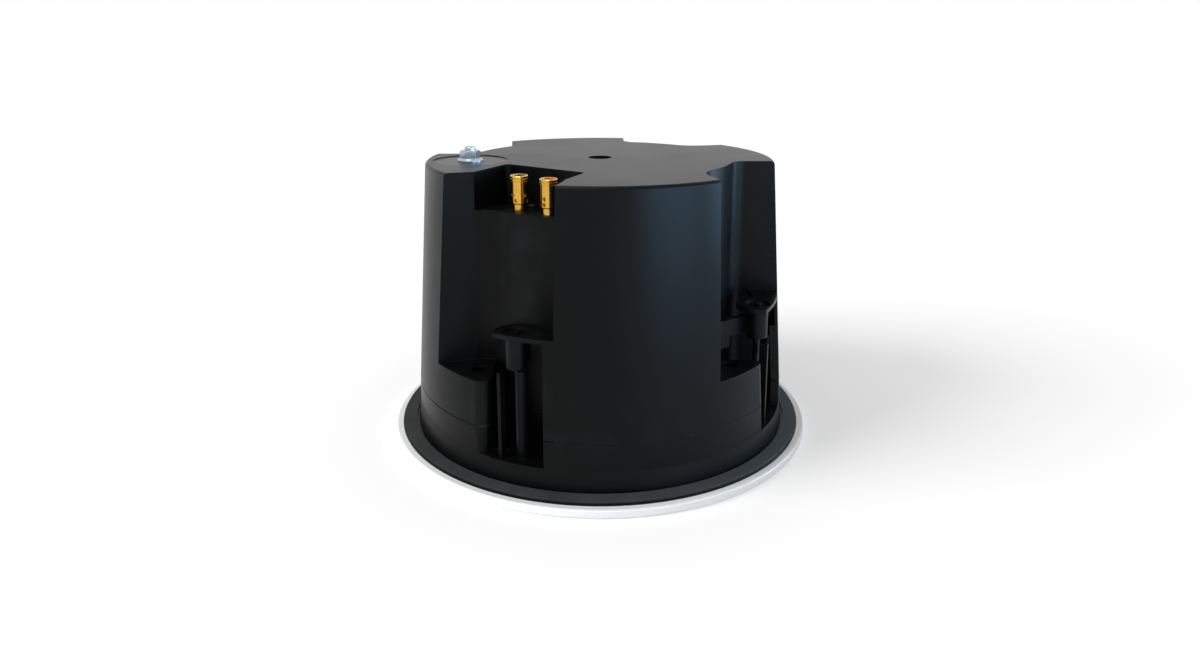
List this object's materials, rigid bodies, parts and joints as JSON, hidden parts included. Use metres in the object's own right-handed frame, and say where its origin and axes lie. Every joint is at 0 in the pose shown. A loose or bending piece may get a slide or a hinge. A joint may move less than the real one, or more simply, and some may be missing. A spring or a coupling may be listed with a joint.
{
  "type": "in ceiling speaker",
  "caption": "Round in-ceiling loudspeaker: perforated front grille, flanged ring, chassis with swing-out clamps, woofer and tweeter, and a closed lobed back can with binding posts and safety stud.",
  "frame": {"origin": "centre of the front ring on the surface the speaker stands on, face down", "axes": "+Z from the grille to the closed end of the back can; -Y towards the side with the terminal recess on its left and the plain lobe on its right"},
  "size_m": [0.24, 0.24, 0.1627],
  "materials": {
    "white_ring": "satin white moulding",
    "white_grille": "matte white powder coat",
    "black_abs": "satin black moulding",
    "foam": "closed cell foam",
    "seal_rubber": "matte black",
    "plated_steel": "zinc plated",
    "turned_brass": "turned",
    "gold_plate": "polished gold plate",
    "black_collar": "gloss black",
    "red_collar": "gloss orange red",
    "black_steel": "black powder coat",
    "ferrite": "sintered, dark grey",
    "cone_sheet": "moulded mineral filled polymer",
    "soft_rubber": "matte butyl",
    "spider_cloth": "resin treated cloth",
    "dome_cloth": "coated silk",
    "coil_copper": "enamelled copper",
    "bare_aluminium": "turned",
    "board_green": "solder mask",
    "capacitor_blue": "wrapped film",
    "cement_white": "cement body",
    "wadding": "polyester wadding",
    "lead_sheath": "soft sheath"
  },
  "bodies": {
    "housing": {"bezel_ring": "white_ring", "grille": "white_grille", "grille_magnets": "plated_steel", "chassis": "black_abs", "gasket_ring": "foam", "back_can": "black_abs", "can_seal": "seal_rubber", "can_screws": "plated_steel", "safety_stud": "plated_steel", "stud_nut": "plated_steel", "stud_inner_nut": "plated_steel", "terminal_plate": "black_abs", "terminal_screws": "plated_steel", "post_stem_black": "gold_plate", "post_stem_red": "gold_plate", "post_nuts": "gold_plate", "woofer_basket": "black_steel", "driver_screws": "black_steel", "top_plate": "plated_steel", "ring_magnet": "ferrite", "yoke": "plated_steel", "surround": "soft_rubber", "spider": "spider_cloth", "woofer_tags": "turned_brass", "tweeter_stem": "bare_aluminium", "tweeter_housing": "black_abs", "tweeter_magnet": "plated_steel", "tweeter_dome": "dome_cloth", "crossover_board": "board_green", "board_screws": "plated_steel", "capacitors": "capacitor_blue", "inductors": "coil_copper", "resistors": "cement_white", "damping_wadding": "wadding", "input_leads": "lead_sheath", "driver_leads": "lead_sheath"},
    "screw_1": {"clamp_screw_1": "plated_steel"},
    "screw_2": {"clamp_screw_2": "plated_steel"},
    "screw_3": {"clamp_screw_3": "plated_steel"},
    "screw_4": {"clamp_screw_4": "plated_steel"},
    "bush_1": {"clamp_bush_1": "turned_brass"},
    "bush_2": {"clamp_bush_2": "turned_brass"},
    "bush_3": {"clamp_bush_3": "turned_brass"},
    "bush_4": {"clamp_bush_4": "turned_brass"},
    "dog_1": {"clamp_dog_1": "black_abs"},
    "dog_2": {"clamp_dog_2": "black_abs"},
    "dog_3": {"clamp_dog_3": "black_abs"},
    "dog_4": {"clamp_dog_4": "black_abs"},
    "collar_black": {"post_collar_black": "black_collar"},
    "collar_red": {"post_collar_red": "red_collar"},
    "sleeve_black": {"post_sleeve_black": "gold_plate"},
    "sleeve_red": {"post_sleeve_red": "gold_plate"},
    "cone_body": {"cone": "cone_sheet", "voice_coil": "coil_copper"}
  },
  "joints": [
    {"name": "clamp_turn_1", "type": "hinge", "parent": "housing", "child": "screw_1", "pos_m": [0.08531, -0.04088, 0.07], "axis": [0, 0, 1], "range_deg": [0, 1801]},
    {"name": "clamp_travel_1", "type": "slide", "parent": "housing", "child": "bush_1", "axis": [0, 0, -1], "range_m": [0, 0.0035]},
    {"name": "clamp_swing_1", "type": "hinge", "parent": "bush_1", "child": "dog_1", "pos_m": [0.08531, -0.04088, 0.07], "axis": [0, 0, 1], "range_deg": [0, 118]},
    {"name": "clamp_turn_2", "type": "hinge", "parent": "housing", "child": "screw_2", "pos_m": [0.04088, 0.08531, 0.07], "axis": [0, 0, 1], "range_deg": [0, 1801]},
    {"name": "clamp_travel_2", "type": "slide", "parent": "housing", "child": "bush_2", "axis": [0, 0, -1], "range_m": [0, 0.0035]},
    {"name": "clamp_swing_2", "type": "hinge", "parent": "bush_2", "child": "dog_2", "pos_m": [0.04088, 0.08531, 0.07], "axis": [0, 0, 1], "range_deg": [0, 118]},
    {"name": "clamp_turn_3", "type": "hinge", "parent": "housing", "child": "screw_3", "pos_m": [-0.08531, 0.04088, 0.07], "axis": [0, 0, 1], "range_deg": [0, 1801]},
    {"name": "clamp_travel_3", "type": "slide", "parent": "housing", "child": "bush_3", "axis": [0, 0, -1], "range_m": [0, 0.0035]},
    {"name": "clamp_swing_3", "type": "hinge", "parent": "bush_3", "child": "dog_3", "pos_m": [-0.08531, 0.04088, 0.07], "axis": [0, 0, 1], "range_deg": [0, 118]},
    {"name": "clamp_turn_4", "type": "hinge", "parent": "housing", "child": "screw_4", "pos_m": [-0.04088, -0.08531, 0.07], "axis": [0, 0, 1], "range_deg": [0, 1801]},
    {"name": "clamp_travel_4", "type": "slide", "parent": "housing", "child": "bush_4", "axis": [0, 0, -1], "range_m": [0, 0.0035]},
    {"name": "clamp_swing_4", "type": "hinge", "parent": "bush_4", "child": "dog_4", "pos_m": [-0.04088, -0.08531, 0.07], "axis": [0, 0, 1], "range_deg": [0, 118]},
    {"name": "post_lift_black", "type": "slide", "parent": "housing", "child": "collar_black", "axis": [0, 0, 1], "range_m": [0, 0.0035]},
    {"name": "post_turn_black", "type": "hinge", "parent": "collar_black", "child": "sleeve_black", "pos_m": [-0.04103, -0.0533, 0.145], "axis": [0, 0, 1], "range_deg": [0, 1801]},
    {"name": "post_lift_red", "type": "slide", "parent": "housing", "child": "collar_red", "axis": [0, 0, 1], "range_m": [0, 0.0035]},
    {"name": "post_turn_red", "type": "hinge", "parent": "collar_red", "child": "sleeve_red", "pos_m": [-0.02545, -0.06425, 0.145], "axis": [0, 0, 1], "range_deg": [0, 1801]},
    {"name": "cone_travel", "type": "slide", "parent": "housing", "child": "cone_body", "axis": [0, 0, 1], "range_m": [-0.004, 0.004], "stiffness_N_per_m": 1200, "springref_m": 0.00025, "deforming": ["surround", "spider"]}
  ],
  "couplings": [
    {"joint": "clamp_turn_1", "follows": "clamp_travel_1", "rad_per_m": 8976},
    {"joint": "clamp_turn_2", "follows": "clamp_travel_2", "rad_per_m": 8976},
    {"joint": "clamp_turn_3", "follows": "clamp_travel_3", "rad_per_m": 8976},
    {"joint": "clamp_turn_4", "follows": "clamp_travel_4", "rad_per_m": 8976},
    {"joint": "post_turn_black", "follows": "post_lift_black", "rad_per_m": 8976},
    {"joint": "post_turn_red", "follows": "post_lift_red", "rad_per_m": 8976}
  ]
}
